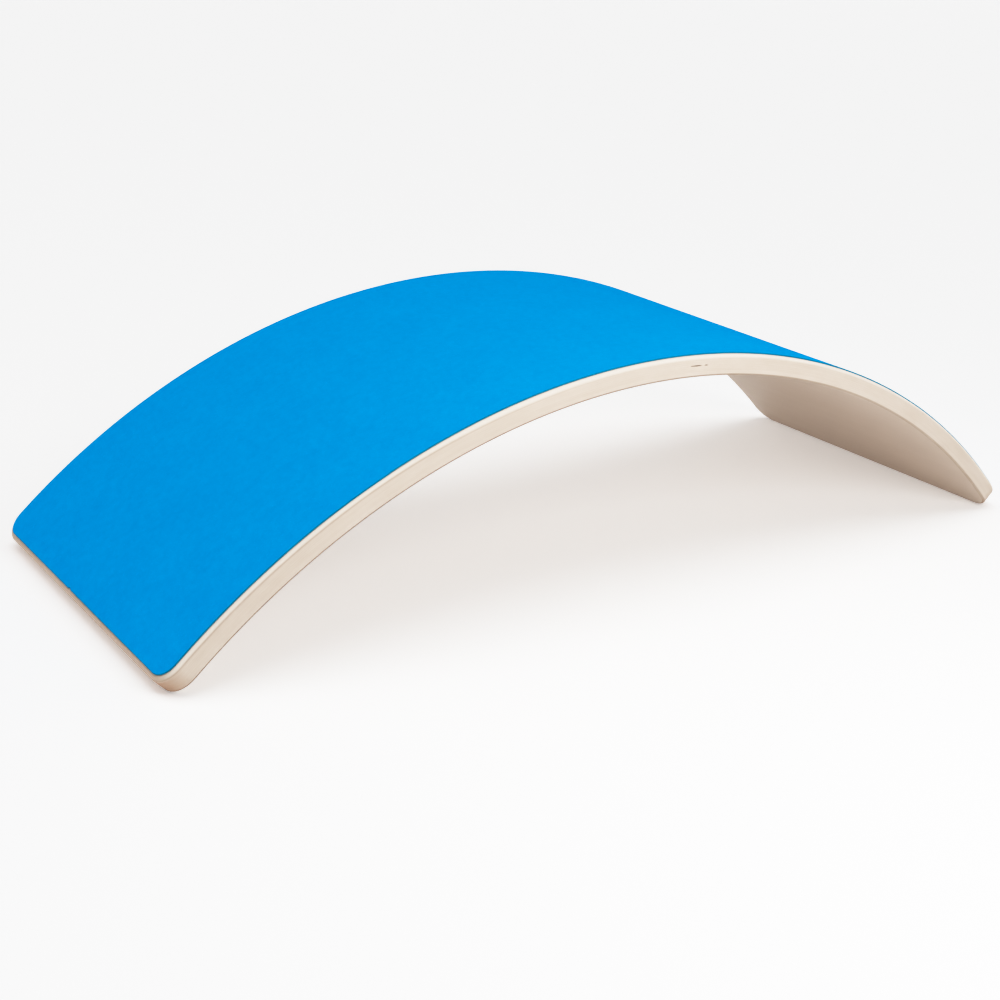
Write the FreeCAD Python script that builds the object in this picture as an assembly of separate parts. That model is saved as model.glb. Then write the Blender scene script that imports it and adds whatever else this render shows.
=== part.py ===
import FreeCAD, Part
import math
import os

# Curved rocker board of bent laminated wood, standing as an arch on its two ends.
# A felt sheet is glued to the convex face, which is on top.
# Frame: origin on the floor under the middle of the board, +X along its length,
# +Y across its width, +Z up. All lengths are in millimetres and angles in radians.
# Angles are measured about the bend axis, from the top of the arch towards +X.

# ---- Driving dimensions ----

board_width = 300.0
convex_radius = 571.0          # bend radius of the wood face that carries the felt
developed_length = 914.0       # length of the board, measured along that face
ply_count = 11                 # odd, so that both face veneers have the same grain
ply_thickness = 1.47
plan_corner_radius = 18.0      # rounding of the four corners of the blank
felt_side_rounding = 3.5       # edge rounding around the convex face
concave_side_rounding = 1.8    # edge rounding around the concave face
adhesive_thickness = 0.15
felt_thickness = 1.0
felt_margin = 0.35             # bare wood between the edge rounding and the felt

# ---- Sizes that follow from them ----

concave_radius = convex_radius - ply_count * ply_thickness
half_angle = developed_length / (2 * convex_radius)
felt_inset = felt_side_rounding + felt_margin
adhesive_radius = convex_radius + adhesive_thickness
felt_radius = adhesive_radius + felt_thickness

overcut = 1.0                  # how far a cutting shape reaches past what it cuts
same_length = 1e-6             # lengths nearer than this are the same


def bend_axis_height():
    """Height of the bend axis, which puts the lowest line of each rounded end on the floor."""
    rounding_centre_radius = concave_radius + concave_side_rounding
    angle_inside_end = math.asin(concave_side_rounding / rounding_centre_radius)
    centre_above_axis = rounding_centre_radius * math.cos(half_angle - angle_inside_end)
    return concave_side_rounding - centre_above_axis


axis_height = bend_axis_height()


def polar(radius, angle, y):
    """Point at a radius and angle about the bend axis."""
    z = axis_height + radius * math.cos(angle)
    return FreeCAD.Vector(radius * math.sin(angle), y, z)


def bent_strip(inner_radius, outer_radius, end_angle, width):
    """Strip bent about the bend axis, with radial ends and straight sides."""
    side = -width / 2

    def arc(radius):
        ends = [polar(radius, angle, side) for angle in (-end_angle, end_angle)]
        return Part.Arc(ends[0], polar(radius, 0, side), ends[1]).toShape()

    def end_line(angle):
        inner = polar(inner_radius, angle, side)
        outer = polar(outer_radius, angle, side)
        return Part.LineSegment(inner, outer).toShape()

    edges = [arc(inner_radius), end_line(end_angle), arc(outer_radius), end_line(-end_angle)]
    outline = Part.Wire(Part.sortEdges(edges)[0])
    return Part.Face(outline).extrude(FreeCAD.Vector(0, width, 0))


def rounded_strip(inner_radius, outer_radius, end_angle, width, corner_radius):
    """Bent strip with its four plan corners rounded, through its whole thickness."""
    strip = bent_strip(inner_radius, outer_radius, end_angle, width)
    thickness = outer_radius - inner_radius
    corners = [edge for edge in strip.Edges if abs(edge.Length - thickness) < same_length]
    return strip.makeFillet(corner_radius, corners)


def outline_of_face(solid, radius):
    """Edges around the bent face that has this radius."""
    for face in solid.Faces:
        surface = face.Surface
        if isinstance(surface, Part.Cylinder) and abs(surface.Radius - radius) < same_length:
            return face.Edges
    raise ValueError("no bent face of radius %g" % radius)


def pressed_board():
    """The whole glued-up board, trimmed to its outline and with its edges rounded."""
    board = rounded_strip(
        concave_radius, convex_radius, half_angle, board_width, plan_corner_radius
    )
    board = board.makeFillet(felt_side_rounding, outline_of_face(board, convex_radius))
    return board.makeFillet(concave_side_rounding, outline_of_face(board, concave_radius))


def backed_felt():
    """Felt with its adhesive, cut to an outline set in from the board's all the way round."""
    end_angle = half_angle - felt_inset / convex_radius
    width = board_width - 2 * felt_inset
    corner_radius = plan_corner_radius - felt_inset
    return rounded_strip(convex_radius, felt_radius, end_angle, width, corner_radius)


def layer_of(blank, inner_radius, outer_radius):
    """The layer of a blank that lies between two bend radii."""
    end_angle = half_angle + overcut / concave_radius
    width = board_width + 2 * overcut
    return blank.common(bent_strip(inner_radius, outer_radius, end_angle, width)).Solids[0]


def split(blank, cut_radii):
    """All layers of a blank, cut at these bend radii, from the concave side outwards."""
    limits = [concave_radius - overcut, *cut_radii, felt_radius + overcut]
    return [layer_of(blank, inner, outer) for inner, outer in zip(limits, limits[1:])]


glue_line_radii = [concave_radius + number * ply_thickness for number in range(1, ply_count)]
core_names = ["core_ply_%02d" % number for number in range(2, ply_count)]
ply_names = ["concave_face_veneer", *core_names, "convex_face_veneer"]
felt_names = ["felt_adhesive_film", "felt_cover"]

nodes = dict(zip(ply_names, split(pressed_board(), glue_line_radii)))
nodes.update(zip(felt_names, split(backed_felt(), [adhesive_radius])))

os.makedirs("parts", exist_ok=True)
for name, shape in nodes.items():
    shape.exportStep("parts/%s.step" % name)
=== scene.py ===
import math

import bpy
import numpy as np
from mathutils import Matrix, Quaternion, Vector, noise


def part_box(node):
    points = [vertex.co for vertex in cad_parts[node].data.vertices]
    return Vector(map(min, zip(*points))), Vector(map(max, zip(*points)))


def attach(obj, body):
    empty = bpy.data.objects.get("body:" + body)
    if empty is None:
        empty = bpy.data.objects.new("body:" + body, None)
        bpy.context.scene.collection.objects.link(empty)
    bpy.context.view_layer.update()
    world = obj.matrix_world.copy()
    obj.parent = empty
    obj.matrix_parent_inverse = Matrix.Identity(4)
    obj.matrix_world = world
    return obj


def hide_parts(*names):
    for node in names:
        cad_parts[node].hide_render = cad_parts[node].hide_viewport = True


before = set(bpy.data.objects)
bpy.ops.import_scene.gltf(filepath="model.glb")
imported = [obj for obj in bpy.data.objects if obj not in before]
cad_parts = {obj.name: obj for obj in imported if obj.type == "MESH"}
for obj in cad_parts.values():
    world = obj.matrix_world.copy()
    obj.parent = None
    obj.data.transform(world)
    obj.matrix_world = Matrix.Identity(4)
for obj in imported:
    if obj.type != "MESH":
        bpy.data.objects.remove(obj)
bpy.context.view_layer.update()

# A curved rocker board of bent laminated wood with a felt sheet on its convex face.
# Lengths are in metres and angles in radians. The board is bent about an axis along Y.
# Its layers are worked out flat, by a point's length s along the convex wood face from
# the middle of the board, its place y across and its radius, and are then bent.

# ---- Sizes of the board, read from the frame ----

core_nodes = sorted(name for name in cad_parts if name.startswith("core_ply_"))
ply_nodes = ["concave_face_veneer", *core_nodes, "convex_face_veneer"]
ply_count = len(ply_nodes)


def end_reach(node):
    """How far a node reaches along X and how low, both of which it does at its end."""
    low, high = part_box(node)
    return high.x, low.z


# Two core plies that the edge roundings leave whole give the slope of the end face.
low_ply, high_ply = 3, 8
low_x, low_z = end_reach(ply_nodes[low_ply - 1])
high_x, high_z = end_reach(ply_nodes[high_ply - 1])
end_angle = math.atan2(high_x - low_x, high_z - low_z)
ply_thickness = math.hypot(high_x - low_x, high_z - low_z) / (high_ply - low_ply)
concave_radius = high_x / math.sin(end_angle) - high_ply * ply_thickness
convex_radius = concave_radius + ply_count * ply_thickness
inner_radius = concave_radius + (high_ply - 1) * ply_thickness
axis_height = high_z - inner_radius * math.cos(end_angle)
half_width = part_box(ply_nodes[low_ply - 1])[1].y

film_x, film_z = end_reach("felt_adhesive_film")
felt_end_angle = math.acos((film_z - axis_height) / convex_radius)
film_radius = film_x / math.sin(felt_end_angle)
felt_radius = end_reach("felt_cover")[0] / math.sin(felt_end_angle)
felt_half_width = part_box("felt_cover")[1].y

plan_corner_radius = 0.018
convex_rounding = 0.0035
concave_rounding = 0.0018
felt_corner_radius = plan_corner_radius - (half_width - felt_half_width)

# ---- Small marks of this board ----

# A short gap in the core shows as a dark slit in the near side, with a speck beside it.
slit_place, slit_half_length, slit_half_height = 0.0180, 0.0064, 0.00055
speck_place, speck_half_length, speck_half_height = 0.0278, 0.0021, 0.00040
slit_below_face = 0.0071
slit_depth = 0.0009
# A painted highlight: a pale band under the felt's edge, on the rounding that faces up,
# down to a line that shows along the left part of the board and is nearer the convex face
# there.
line_depth, line_rise, line_rise_start, line_rise_length = 0.0029, 0.0010, -0.12, 0.15
line_end, line_fade, line_half_width = -0.05, 0.20, 0.0006
band_sharpness = 1.4
# From the left, the felt's near edge comes further out up to a place where it steps back.
step_place, step_fade, step_out = -0.251, 0.070, 0.00045
# The felt's left end has a nick.
nick_y, nick_half_width, nick_depth = 0.0157, 0.0008, 0.0012


# ---- Bent layers ----


class Outline:
    """A rounded rectangle on the bent board, as stations from its -X end to its +X end.

    Each station is a line across the board. Between the corners they are at shares of
    the way from the middle, from -1 to 1. Each corner has more of them round its arc.
    """

    corner_steps = 14

    def __init__(self, end_angle, half_width, corner_radius, shares):
        self.end_angle = end_angle
        self.half_width = half_width
        self.corner_radius = corner_radius
        self.shares = shares
        # How far the outline turns endways: 0 along the sides and a right angle at the ends.
        corner = np.linspace(math.pi / 2, 0, self.corner_steps, endpoint=False)
        self.turns = np.concatenate([corner, np.zeros(len(shares)), corner[::-1]])

    def stations(self, radius, inset):
        """Angle and half width at each station, for the outline moved in by an inset."""
        arc = self.corner_radius - inset
        from_end = self.corner_radius - arc * np.sin(self.turns)
        angle = self.end_angle - np.arcsin(from_end / radius)
        angle[: self.corner_steps] *= -1
        straight = slice(self.corner_steps, self.corner_steps + len(self.shares))
        straight_end = self.end_angle - math.asin(self.corner_radius / radius)
        angle[straight] = self.shares * straight_end
        across = self.half_width - self.corner_radius + arc * np.cos(self.turns)
        return angle, across


class Layer:
    """A closed bent layer: a grid on each face, with rings of points round its edge.

    The profile gives the edge's rings as (radius, inset), from the lower face up to the
    upper one. Columns are the places across of the grids' lines, from -1 to 1.
    """

    def __init__(self, outline, profile, columns):
        self.outline = outline
        self.columns = columns
        self.rows, self.lines = len(outline.turns), len(columns)
        border, border_turns = self.border()
        points, turns, rings, start = [], [], [], 0
        for number, (radius, inset) in enumerate(profile):
            grid = self.grid_points(radius, inset)
            if 0 < number < len(profile) - 1:
                grid = grid[border]
                rings.append(start + np.arange(len(border)))
                turns.append(border_turns)
            else:
                rings.append(start + border)
                grid_turns = np.zeros(len(grid))
                grid_turns[border] = border_turns
                turns.append(grid_turns)
            points.append(grid)
            start += len(grid)
        self.s, self.y, self.radius = np.concatenate(points).T
        self.turns = np.concatenate(turns)
        self.on_wall = np.zeros(start, bool)
        self.on_wall[np.concatenate(rings)] = True
        self.faces, self.wall_faces = self.quads(rings, start)

    def border(self):
        """A grid's points round its border, and how far the edge turns endways at each."""
        near = np.arange(self.rows) * self.lines
        end = np.arange(1, self.lines - 1)
        far = near[::-1] + self.lines - 1
        border = np.concatenate([near, near[-1] + end, far, end[::-1]])
        turns = np.repeat(self.outline.turns, self.lines)[border]
        turns[self.rows : self.rows + len(end)] = math.pi / 2
        turns[len(border) - len(end) :] = math.pi / 2
        return border, turns

    def grid_points(self, radius, inset):
        """The points of a whole grid, each as (s, y, radius)."""
        angle, across = self.outline.stations(radius, inset)
        grid = np.empty((self.rows, self.lines, 3))
        grid[..., 0] = angle[:, None] * convex_radius
        grid[..., 1] = across[:, None] * self.columns
        grid[..., 2] = radius
        return grid.reshape(-1, 3)

    def quads(self, rings, point_count):
        """The faces of the lower grid, wall and upper grid, and the wall's place in them."""
        corner = np.arange(self.rows - 1)[:, None] * self.lines + np.arange(self.lines - 1)
        corner = corner.ravel()
        next_row = corner + self.lines
        grid = np.stack([corner, next_row, next_row + 1, corner + 1], 1)
        walls = [
            np.stack([low, np.roll(low, -1), np.roll(high, -1), high], 1)
            for low, high in zip(rings, rings[1:])
        ]
        top = point_count - self.rows * self.lines
        faces = np.concatenate([grid[:, ::-1], *walls, grid + top])
        return faces, slice(len(grid), len(faces) - len(grid))

    def bent(self):
        """The layer's points in the frame."""
        angle = self.s / convex_radius
        x = self.radius * np.sin(angle)
        z = axis_height + self.radius * np.cos(angle)
        return np.stack([x, self.y, z], 1)


sharpest_smooth = math.radians(40)


def make_piece(name, layer, attributes, face_material, edge_material):
    """Makes a layer's object, with a material for its faces and one for its edge."""
    mesh = bpy.data.meshes.new(name)
    mesh.from_pydata(layer.bent().tolist(), [], layer.faces.tolist())
    for key, values in attributes.items():
        kind = "FLOAT_VECTOR" if values.ndim == 2 else "FLOAT"
        field = "vector" if values.ndim == 2 else "value"
        made = mesh.attributes.new(key, kind, "POINT")
        made.data.foreach_set(field, values.astype(np.float32).ravel())
    mesh.materials.append(face_material)
    mesh.materials.append(edge_material)
    slots = np.zeros(len(layer.faces), np.int32)
    slots[layer.wall_faces] = 1
    mesh.polygons.foreach_set("material_index", slots)
    mesh.shade_smooth()
    mesh.set_sharp_from_angle(angle=sharpest_smooth)
    piece = bpy.data.objects.new(name, mesh)
    bpy.context.collection.objects.link(piece)
    weighted = piece.modifiers.new("even_normals", "WEIGHTED_NORMAL")
    weighted.keep_sharp = True
    weighted.weight = 100          # the most for the largest faces
    return piece


def bump_shape(distance, half_size):
    """1 at distance 0, falling smoothly to 0 at the half size."""
    share = np.clip(np.abs(distance) / half_size, 0, 1)
    return (1 - share**2) ** 2


def ease(value):
    """0 below 0 and 1 above 1, with a smooth rise between."""
    share = np.clip(value, 0, 1)
    return share * share * (3 - 2 * share)


def wander(s, y, wavelength, seed):
    """Smooth noise between about -1 and 1, over the flat board."""
    place = zip(s / wavelength, y / wavelength)
    return np.array([noise.noise(Vector((a, b, seed))) for a, b in place])


# ---- Materials ----


# Places of the Mix node's sockets for colours, which share their names with others.
mix_factor, mix_low, mix_high, mix_result = 0, 6, 7, 2


class Shader:
    """A material under construction. Most methods add a node and return its output."""

    def __init__(self, name):
        self.material = bpy.data.materials.new(name)
        self.material.use_nodes = True
        self.tree = self.material.node_tree
        self.surface = self.tree.nodes["Principled BSDF"]

    def add(self, kind, inputs, output=0, **settings):
        """Adds a node with these inputs, each a constant or another node's output."""
        node = self.tree.nodes.new("ShaderNode" + kind)
        for key, value in settings.items():
            setattr(node, key, value)
        for key, value in inputs.items():
            self.feed(node.inputs[key], value)
        return node.outputs[output]

    def feed(self, socket, value):
        if isinstance(value, bpy.types.NodeSocket):
            self.tree.links.new(value, socket)
        else:
            socket.default_value = value

    def attribute(self, name, output="Fac"):
        return self.add("Attribute", {}, output, attribute_name=name)

    def math(self, operation, *values):
        return self.add("Math", dict(enumerate(values)), operation=operation)

    def scaled(self, vector, scale):
        """The vector with each component multiplied by its own factor."""
        return self.add("VectorMath", {0: vector, 1: scale}, operation="MULTIPLY")

    def noise(self, vector, scale, detail=2.0, roughness=0.5):
        """Noise whose features are finer along a component with a larger scale."""
        inputs = {
            "Vector": self.scaled(vector, scale),
            "Scale": 1.0,
            "Detail": detail,
            "Roughness": roughness,
        }
        return self.add("TexNoise", inputs)

    def spread(self, value, low, high, to_low=0.0, to_high=1.0):
        """Maps low and high to new values, smoothly, and holds those beyond them."""
        inputs = {
            "Value": value,
            "From Min": low,
            "From Max": high,
            "To Min": to_low,
            "To Max": to_high,
        }
        return self.add("MapRange", inputs, interpolation_type="SMOOTHSTEP")

    def mixed(self, factor, low, high):
        """From the colour low to the colour high, by the factor."""
        inputs = {mix_factor: factor, mix_low: low, mix_high: high}
        return self.add("Mix", inputs, mix_result, data_type="RGBA")

    def total(self, *terms):
        """The sum of (value, weight) pairs."""
        result = 0.0
        for value, weight in terms:
            result = self.math("MULTIPLY_ADD", value, weight, result)
        return result

    def set(self, **values):
        """Sets inputs of the surface, named with _ in place of spaces."""
        for key, value in values.items():
            self.feed(self.surface.inputs[key.replace("_", " ")], value)

    def bump(self, height, distance, strength=1.0):
        """A normal for a relief that is this distance high."""
        inputs = {"Height": height, "Distance": distance, "Strength": strength}
        return self.add("Bump", inputs)


# Wood of the sanded edge and of the two faces, at its lightest and its darkest. The faces'
# wood is darker than the edge's as painted shade for the shaded underside.
light_edge, dark_edge = (0.70, 0.602, 0.517, 1), (0.603, 0.50, 0.411, 1)
light_face_painted_shade, dark_face_painted_shade = (0.545, 0.453, 0.383, 1), (0.48, 0.39, 0.32, 1)
# Colours on the edge: painted shade on the ends, the glue lines, painted shade on the lower
# arris, the painted highlight band, and the slit, whose brown is partly painted shade.
end_painted_shade_brown = (0.40, 0.25, 0.17, 1)
glue_brown = (0.34, 0.22, 0.13, 1)
arris_painted_shade_brown = (0.18, 0.105, 0.06, 1)
band_painted_highlight = (0.89, 0.795, 0.705, 1)
slit_brown_and_shade = (0.36, 0.285, 0.235, 1)
# Felt, adhesive and studio paper, each from its darkest tone to its lightest.
top_azure = (0.0, 0.285, 0.70, 1), (0.0, 0.366, 0.885, 1)
# The cut edge's darker azure is partly its dense, glued cut fibres and partly painted shade.
cut_azure_and_shade = (0.0, 0.19, 0.33, 1), (0.0, 0.28, 0.46, 1)
sheen_azure = (0.0, 0.45, 1.0, 1)
adhesive_grey = (0.22, 0.26, 0.27, 1), (0.34, 0.37, 0.37, 1)
paper_white = (0.95, 0.95, 0.95, 1), (0.975, 0.975, 0.975, 1)


def wood_pattern(shader):
    """The wood's solid pattern, as (tone, relief) outputs.

    The grain attribute is (along the grain, across it, through the ply), in metres.
    """
    grain = shader.attribute("grain", "Vector")
    drift = shader.noise(grain, (1.3, 6.0, 40.0), 1.0)
    cloud = shader.noise(grain, (3.0, 16.0, 120.0), 3.0)
    across = shader.add("SeparateXYZ", {0: grain}, 1)
    through = shader.add("SeparateXYZ", {0: grain}, 2)
    ring_phase = shader.total((drift, 60.0), (across, 190.0), (through, 900.0))
    rings = shader.math("SINE", ring_phase)
    streaks = shader.noise(grain, (9.0, 240.0, 500.0), 3.0, 0.6)
    fibres = shader.noise(grain, (45.0, 1900.0, 2300.0), 2.0, 0.6)
    dashes = shader.noise(grain, (160.0, 2100.0, 1500.0), 1.0)
    pores = shader.spread(dashes, 0.66, 0.74)
    tone = shader.total(
        (cloud, 0.55), (rings, 0.035), (streaks, 0.55), (fibres, 0.30), (pores, -0.22)
    )
    relief = shader.total((fibres, 0.6), (streaks, 0.25), (pores, -0.8))
    return tone, relief


def face_wood():
    """Wood of the two outer faces, darkened as painted shade for the shaded underside."""
    shader = Shader("face_veneer_wood_painted_shade")
    tone, relief = wood_pattern(shader)
    factor = shader.spread(tone, 0.1, 1.3)
    shader.set(
        Base_Color=shader.mixed(factor, dark_face_painted_shade, light_face_painted_shade),
        Roughness=shader.spread(relief, 0.2, 0.7, 0.44, 0.58),
        Specular_IOR_Level=0.35,
        Normal=shader.bump(relief, 0.00006),
    )
    return shader.material


def edge_wood():
    """Wood of the sanded edge: end grain, glue lines, painted shade on the ends and lower
    arris, a painted highlight band, and the open slit with painted shade.
    """
    shader = Shader("sanded_edge_wood")
    tone, relief = wood_pattern(shader)
    end_grain = shader.attribute("end_grain")
    flat = shader.attribute("flat", "Vector")
    smudges = shader.noise(flat, (26.0, 26.0, 70.0), 3.0, 0.55)
    ply_tone = shader.attribute("ply_tone")
    tone = shader.total((tone, 0.55), (smudges, 0.7), (end_grain, -0.08), (ply_tone, 0.10))
    wood = shader.mixed(shader.spread(tone, 0.2, 1.25), dark_edge, light_edge)

    # Painted shade on the end faces: darker brown where the edge faces endways, less on the
    # upper arris.
    end_facing = shader.attribute("end_facing")
    below_felt = shader.spread(shader.attribute("upper_arris"), 0.05, 0.35, 1.0, 0.46)
    end_painted_shade = shader.math("MULTIPLY", end_facing, below_felt)
    wood = shader.mixed(end_painted_shade, wood, end_painted_shade_brown)

    place = shader.attribute("ply_place")
    from_middle = shader.math("ABSOLUTE", shader.math("SUBTRACT", place, 0.5))
    at_glue = shader.spread(from_middle, 0.40, 0.5)
    patchy = shader.noise(flat, (35.0, 35.0, 400.0), 2.0)
    glue_line = shader.math("MULTIPLY", at_glue, shader.spread(patchy, 0.35, 0.7, 0.03, 0.30))
    wood = shader.mixed(glue_line, wood, glue_brown)

    # Painted shade on the lower arris, which faces down: a dark brown line, strongest towards
    # the left.
    along = shader.add("SeparateXYZ", {0: flat}, 0)
    arris_shade_towards_left = shader.spread(along, -0.40, 0.30, 1.0, 0.5)
    lower_arris = shader.spread(shader.attribute("lower_arris"), 0.0, 0.3)
    wood = shader.mixed(shader.math("MULTIPLY", lower_arris, arris_shade_towards_left), wood, arris_painted_shade_brown)

    # Painted highlight: a pale band on the upward-facing rounding under the felt, on the
    # sides only.
    band = shader.math("MULTIPLY", shader.attribute("highlight_band"), 0.85)
    sideways = shader.math("SUBTRACT", 1.0, end_facing)
    wood = shader.mixed(shader.math("MULTIPLY", band, sideways), wood, band_painted_highlight)
    sanding_line = shader.math("MULTIPLY", shader.attribute("sanding_line"), 0.45)
    wood = shader.mixed(sanding_line, wood, glue_brown)
    shader.set(
        # The slit and speck: their brown is partly dark wood in the gap and partly painted
        # shade.
        Base_Color=shader.mixed(shader.attribute("slit"), wood, slit_brown_and_shade),
        Roughness=shader.spread(relief, 0.2, 0.7, 0.50, 0.66),
        Specular_IOR_Level=0.3,
        Normal=shader.bump(relief, 0.00007),
    )
    return shader.material


def felt_pattern(shader):
    """The felt's fibres, lying at several directions, and its soft mottling."""
    flat = shader.attribute("flat", "Vector")
    layers = []
    for turn in (0.25, 1.2, 2.2):
        inputs = {"Vector": flat, "Axis": (0, 0, 1), "Angle": turn}
        turned = shader.add("VectorRotate", inputs)
        layers.append(shader.noise(turned, (330.0, 2600.0, 2600.0), 2.0, 0.6))
    matted = shader.math("MAXIMUM", shader.math("MAXIMUM", *layers[:2]), layers[2])
    mottle = shader.noise(flat, (150.0, 150.0, 150.0), 3.0, 0.6)
    cloud = shader.noise(flat, (22.0, 22.0, 22.0), 2.0)
    tufts = shader.spread(shader.noise(flat, (520.0, 520.0, 520.0), 1.0), 0.68, 0.78)
    return matted, mottle, cloud, tufts


def felt_surface(name, dark, light):
    """Felt between two tones of its colour."""
    shader = Shader(name)
    matted, mottle, cloud, tufts = felt_pattern(shader)
    tone = shader.total((matted, 0.9), (mottle, 0.35), (cloud, 0.18), (tufts, 0.25))
    factor = shader.spread(tone, 0.45, 1.15)
    relief = shader.total((matted, 1.0), (mottle, 0.7), (tufts, 0.5))
    shader.set(
        Base_Color=shader.mixed(factor, dark, light),
        Roughness=0.95,
        Specular_IOR_Level=0.0,
        Sheen_Weight=0.12,
        Sheen_Roughness=0.5,
        Sheen_Tint=sheen_azure,
        Normal=shader.bump(relief, 0.00025, 0.8),
    )
    return shader.material


def glue_film():
    """The dried adhesive under the felt."""
    shader = Shader("dried_adhesive")
    flat = shader.attribute("flat", "Vector")
    blobs = shader.noise(flat, (260.0, 260.0, 260.0), 3.0, 0.6)
    shader.set(
        Base_Color=shader.mixed(blobs, *adhesive_grey),
        Roughness=shader.spread(blobs, 0.3, 0.7, 0.35, 0.6),
        Specular_IOR_Level=0.4,
        Normal=shader.bump(blobs, 0.0001),
    )
    return shader.material


wood_face, wood_edge = face_wood(), edge_wood()
felt_top = felt_surface("azure_felt", *top_azure)
felt_cut_and_shade = felt_surface("azure_felt_cut_edge_and_shade", *cut_azure_and_shade)
film_material = glue_film()


# ---- The veneers ----


def rounding_inset(depth, rounding):
    """How far a rounded edge stands in, at a depth below the face that it rounds."""
    rise = max(rounding - depth, 0)
    return rounding - math.sqrt(rounding**2 - rise**2)


glue_radii = [concave_radius + number * ply_thickness for number in range(1, ply_count)]
groove_depth, groove_half_width = 0.00005, 0.00014


def board_inset(radius):
    """How far the board's sanded edge stands in at a radius, from its plan outline."""
    inset = rounding_inset(radius - concave_radius, concave_rounding)
    inset += rounding_inset(convex_radius - radius, convex_rounding)
    nearest = min(abs(radius - glue) for glue in glue_radii)
    return inset + groove_depth * max(0, 1 - nearest / groove_half_width)


def rounding_depths(rounding, steps):
    """Depths of points that are evenly spaced round a rounded edge."""
    return rounding * (1 - np.cos(np.linspace(0, math.pi / 2, steps + 1)))


def edge_radii():
    """All radii at which the board's edge has a ring of points."""
    slit_radius = convex_radius - slit_below_face
    slit_reach, slit_rings = 1.2 * slit_half_height, 13
    parts = [
        concave_radius + rounding_depths(concave_rounding, steps=8),
        convex_radius - rounding_depths(convex_rounding, steps=12),
        np.linspace(slit_radius - slit_reach, slit_radius + slit_reach, slit_rings),
    ]
    for glue in glue_radii:
        parts.append([glue - groove_half_width, glue, glue + groove_half_width])
    return np.unique(np.concatenate(parts).round(8))


def slit_mask(s, radius):
    """1 in the middle of the slit and the speck, and 0 outside their ragged outlines."""
    off = radius - (convex_radius - slit_below_face)
    raggedness, sharpness = 0.25, 2.2
    ragged = 1 + raggedness * wander(s, radius, wavelength=0.0011, seed=5.5)
    slit = np.hypot((s - slit_place) / slit_half_length, off / slit_half_height)
    speck = np.hypot((s - speck_place) / speck_half_length, off / speck_half_height)
    return ease(sharpness * (1 - np.minimum(slit, speck) * ragged))


straight_length = convex_radius * end_angle - plan_corner_radius
even_stations, slit_step, slit_margin = 361, 0.00045, 0.001
slit_start = slit_place - slit_half_length - slit_margin
slit_end = speck_place + speck_half_length + slit_margin
slit_shares = np.arange(slit_start, slit_end, slit_step) / straight_length
board_shares = np.unique(np.concatenate([np.linspace(-1, 1, even_stations), slit_shares]))
board_outline = Outline(end_angle, half_width, plan_corner_radius, board_shares)
ring_radii = edge_radii()
ply_tones = np.random.default_rng(4).uniform(-1, 1, ply_count)
grain_step_along, grain_step_across = 1.0, 0.37   # between the patterns of two plies
same_radius = 1e-6             # radii nearer than this are the same


def veneer_layer(number):
    """The layer of one veneer, counted from the concave face."""
    low = concave_radius + number * ply_thickness
    high = low + ply_thickness
    inside = (ring_radii > low + same_radius) & (ring_radii < high - same_radius)
    profile = [(radius, board_inset(radius)) for radius in (low, *ring_radii[inside], high)]
    return Layer(board_outline, profile, np.array([-1.0, 1.0]))


def veneer_attributes(layer, number, slit):
    """What the wood's materials need to know at each point of a veneer."""
    # The grain turns from ply to ply, and it lies across the board in the two faces.
    lengthwise = number % 2 == 1
    along, across = (layer.s, layer.y) if lengthwise else (layer.y, layer.s)
    along = along + grain_step_along * number
    across = across + grain_step_across * number
    depth = layer.radius - concave_radius
    below = convex_radius - layer.radius
    ply_low = concave_radius + number * ply_thickness
    side_facing, end_facing = np.cos(layer.turns), np.sin(layer.turns)
    line = line_depth - line_rise * ease((line_rise_start - layer.s) / line_rise_length)
    line_strength = ease((line_end - layer.s) / line_fade)
    return {
        "grain": np.stack([along, across, depth], 1),
        "flat": np.stack([layer.s, layer.y, depth], 1),
        "ply_place": (layer.radius - ply_low) / ply_thickness,
        "ply_tone": np.full(len(depth), ply_tones[number]),
        "end_grain": end_facing if lengthwise else side_facing,
        "end_facing": end_facing,
        "lower_arris": np.clip(1 - depth / concave_rounding, 0, 1),
        "upper_arris": np.clip(1 - below / convex_rounding, 0, 1),
        "highlight_band": ease(band_sharpness * (line - below) / line),
        "sanding_line": bump_shape(line - below, line_half_width) * line_strength,
        "slit": slit,
    }


for number, node in enumerate(ply_nodes):
    layer = veneer_layer(number)
    slit = slit_mask(layer.s, layer.radius) * (layer.y < 0) * layer.on_wall
    layer.y += slit_depth * slit
    attributes = veneer_attributes(layer, number, slit)
    kind = {0: "concave_face", ply_count - 1: "convex_face"}.get(number, "core")
    name = "veneer_%02d_%s" % (number + 1, kind)
    piece = make_piece(name, layer, attributes, wood_face, wood_edge)
    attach(piece, "root")
    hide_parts(node)

# ---- The felt and its adhesive ----

film_inset = 0.0003
felt_step = 0.0026             # about how far apart the lines of the felt's grid are
felt_length = 2 * felt_end_angle * convex_radius
rows = round(felt_length / felt_step)
lines = round(2 * felt_half_width / felt_step)
felt_shares, felt_columns = np.linspace(-1, 1, rows), np.linspace(-1, 1, lines)
felt_outline = Outline(felt_end_angle, felt_half_width, felt_corner_radius, felt_shares)


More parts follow.
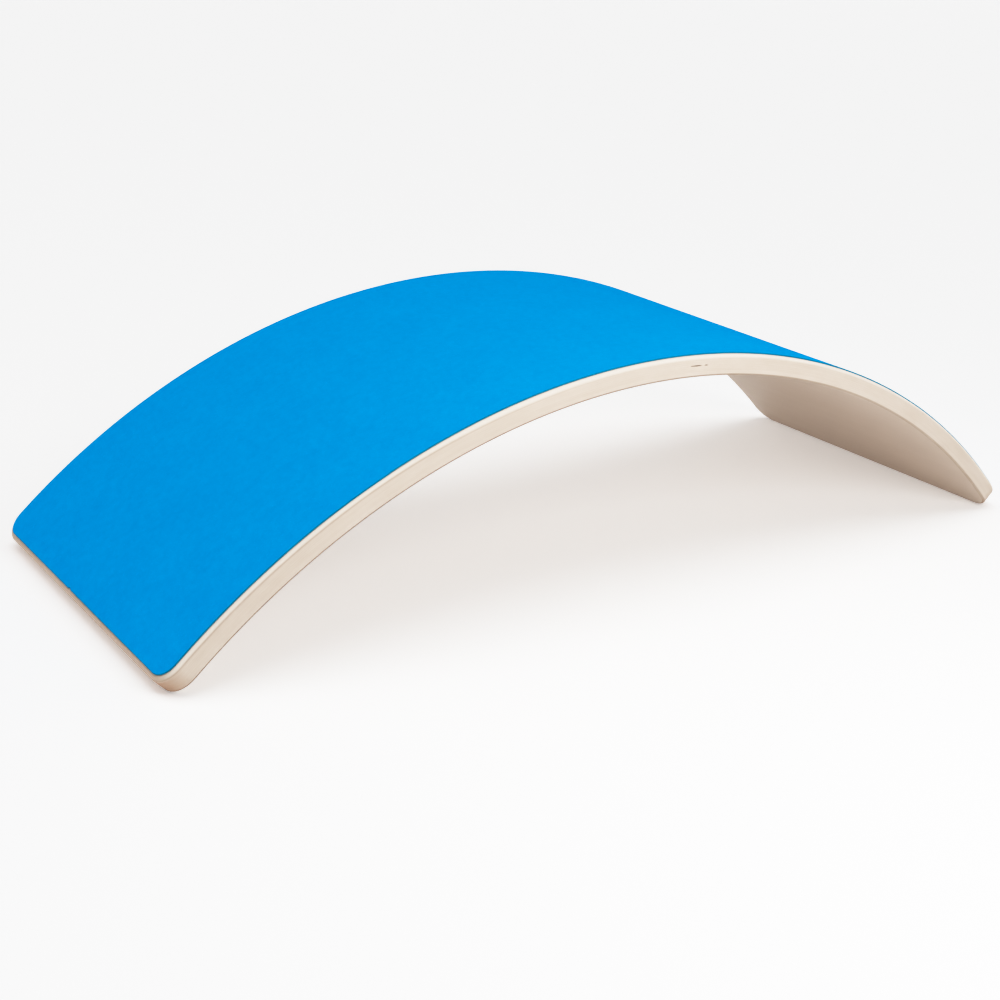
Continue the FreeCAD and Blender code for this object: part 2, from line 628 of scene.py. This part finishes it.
def trim(layer):
    """Moves the felt's edge to where the knife left it: not quite straight."""
    edge_reach = 0.006
    near = bump_shape(layer.y + felt_half_width, edge_reach)
    far = bump_shape(layer.y - felt_half_width, edge_reach)
    left = bump_shape(layer.s + felt_length / 2, edge_reach)
    right = bump_shape(layer.s - felt_length / 2, edge_reach)
    slow = wander(layer.s, layer.y, wavelength=0.045, seed=1.5)
    quick = wander(layer.s, layer.y, wavelength=0.009, seed=2.5)
    cut_back, slow_size, quick_size = 0.00010, 0.00009, 0.00003
    wobble = -cut_back + slow_size * slow + quick_size * quick
    out = ease((layer.s - step_place + step_fade) / step_fade)
    out *= layer.s < step_place
    layer.y += (far - near) * wobble - near * step_out * out
    layer.s += (right - left) * wobble
    nick = nick_depth * bump_shape(layer.y - nick_y, nick_half_width)
    layer.s += nick * bump_shape(layer.s + felt_length / 2, 2 * nick_depth)


def felt_attributes(layer):
    """Places on the flat sheet, which its pattern follows."""
    return {"flat": np.stack([layer.s, layer.y, layer.radius - convex_radius], 1)}


film_profile = [(convex_radius, film_inset), (film_radius, film_inset)]
film_layer = Layer(felt_outline, film_profile, felt_columns[[0, -1]])
film = make_piece(
    "adhesive_film", film_layer, felt_attributes(film_layer), film_material, film_material
)
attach(film, "root")
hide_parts("felt_adhesive_film")

felt_thickness = felt_radius - film_radius
# The cut edge, from the film up, as shares of the felt's thickness and insets.
cut_edge = [
    (0, 0.00015), (0.35, 0), (0.68, 0.00001), (0.85, 0.00007), (0.96, 0.00020), (1, 0.00045)
]
felt_profile = [(film_radius + share * felt_thickness, inset) for share, inset in cut_edge]
felt_layer = Layer(felt_outline, felt_profile, felt_columns)
trim(felt_layer)
on_top = ease((felt_layer.radius - film_radius) / felt_thickness * 2 - 1)
swell = wander(felt_layer.s, felt_layer.y, wavelength=0.030, seed=3.5)
lumps = wander(felt_layer.s, felt_layer.y, wavelength=0.008, seed=4.5)
sink, swell_height, lump_height = 0.00006, 0.00003, 0.00002
felt_layer.radius += on_top * (-sink + swell_height * swell + lump_height * lumps)
felt = make_piece("felt_sheet", felt_layer, felt_attributes(felt_layer), felt_top, felt_cut_and_shade)
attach(felt, "root")
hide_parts("felt_cover")

# ---- Floor, light and camera ----

# The floor is a wide disc that curves up into a low wall, which only low views look over.
floor_radius, cove_radius, wall_height = 18.0, 2.0, 3.0
floor_sides, cove_steps = 96, 8


def floor_shape():
    """Points and faces of the floor: the disc, and then the rings of quads round it."""
    rise = np.linspace(0, math.pi / 2, cove_steps + 1)
    reach = np.append(floor_radius + cove_radius * np.sin(rise), floor_radius + cove_radius)
    height = np.append(cove_radius * (1 - np.cos(rise)), wall_height)
    turn = np.linspace(0, 2 * math.pi, floor_sides, endpoint=False)
    circle = np.stack([np.cos(turn), np.sin(turn), np.zeros(floor_sides)], 1)
    points = np.concatenate([circle * r + [0, 0, z] for r, z in zip(reach, height)])
    faces = [list(range(floor_sides))]
    for ring in range(1, len(reach)):
        high = ring * floor_sides + np.arange(floor_sides)
        low = high - floor_sides
        faces += np.stack([low, high, np.roll(high, -1), np.roll(low, -1)], 1).tolist()
    return points.tolist(), faces


def studio_paper():
    """Matt pale paper that glows a little."""
    shader = Shader("studio_paper")
    ground = shader.add("TexCoord", {}, "Object")
    tooth = shader.noise(ground, (900.0, 900.0, 900.0), 3.0)
    shader.set(
        Base_Color=shader.mixed(tooth, *paper_white),
        Roughness=0.9,
        Specular_IOR_Level=0.2,
        Normal=shader.bump(tooth, 0.0001, 0.3),
        Emission_Color=(1, 1, 1, 1),
        Emission_Strength=0.25,
    )
    return shader.material


points, faces = floor_shape()
floor_mesh = bpy.data.meshes.new("floor")
floor_mesh.from_pydata(points, [], faces)
floor_mesh.shade_smooth()
floor_mesh.materials.append(studio_paper())
floor = bpy.data.objects.new("floor", floor_mesh)
bpy.context.collection.objects.link(floor)

scene = bpy.context.scene
scene.world = bpy.data.worlds.new("studio")
scene.world.use_nodes = True
backdrop = scene.world.node_tree.nodes["Background"]
backdrop.inputs["Color"].default_value = (1.0, 1.0, 1.0, 1)
backdrop.inputs["Strength"].default_value = 0.15


def aim(light, place, target):
    """Puts a light at a place and turns it to a target."""
    holder = bpy.data.objects.new(light.name, light)
    holder.location = place
    holder.rotation_mode = "QUATERNION"
    way = Vector(target) - Vector(place)
    holder.rotation_quaternion = way.to_track_quat("-Z", "Y")
    bpy.context.collection.objects.link(holder)


broad_angle = math.radians(50)


def broad_light(name, side, strength):
    """Soft light from one side that is equally strong at every distance."""
    light = bpy.data.lights.new(name, "SUN")
    light.energy = strength
    light.angle = broad_angle
    aim(light, side, (0, 0, 0))


def softbox(name, place, target, size, power):
    """A square area light that faces a target."""
    light = bpy.data.lights.new(name, "AREA")
    light.shape = "SQUARE"
    light.size = size
    light.energy = power
    aim(light, place, target)


broad_light("overhead_light", (0, 0, 1), 1.27)
broad_light("back_left_light", (-0.7, 0.7, 1.2), 0.60)
broad_light("right_light", (1, -0.2, 0.6), 0.41)
softbox("front_softbox", (-0.02, -0.76, 0.56), (0, 0, 0.1), 0.36, 2.8)

# A camera's tone curve, with some contrast and highlights that roll off smoothly.
brightest, knee, contrast, curve_spans = 2.5, 0.5645, 1.5, 25
combined = 3                   # place of the curve that all three colours share
view = scene.view_settings
view.view_transform = "Standard"
view.use_curve_mapping = True
curves = view.curve_mapping
curves.white_level = (brightest, brightest, brightest)
tone_curve = curves.curves[combined]
for share in np.linspace(0, 1, curve_spans + 1)[1:-1]:
    tone = 1 - math.exp(-((brightest * share / knee) ** contrast))
    tone_curve.points.new(share, tone)
curves.update()

# The camera is the one that the fit to the photo found.
lens = bpy.data.cameras.new("camera")
lens.sensor_width = 36.0
lens.lens = 57.122
lens.clip_end = 100.0
camera = bpy.data.objects.new("camera", lens)
camera.location = (-0.76762, -0.99447, 0.48745)
look = Vector((0.55027, 0.75810, -0.34998))
roll = Quaternion((0, 0, 1), math.radians(3.80))
camera.rotation_mode = "QUATERNION"
camera.rotation_quaternion = look.to_track_quat("-Z", "Y") @ roll
bpy.context.collection.objects.link(camera)
scene.camera = camera
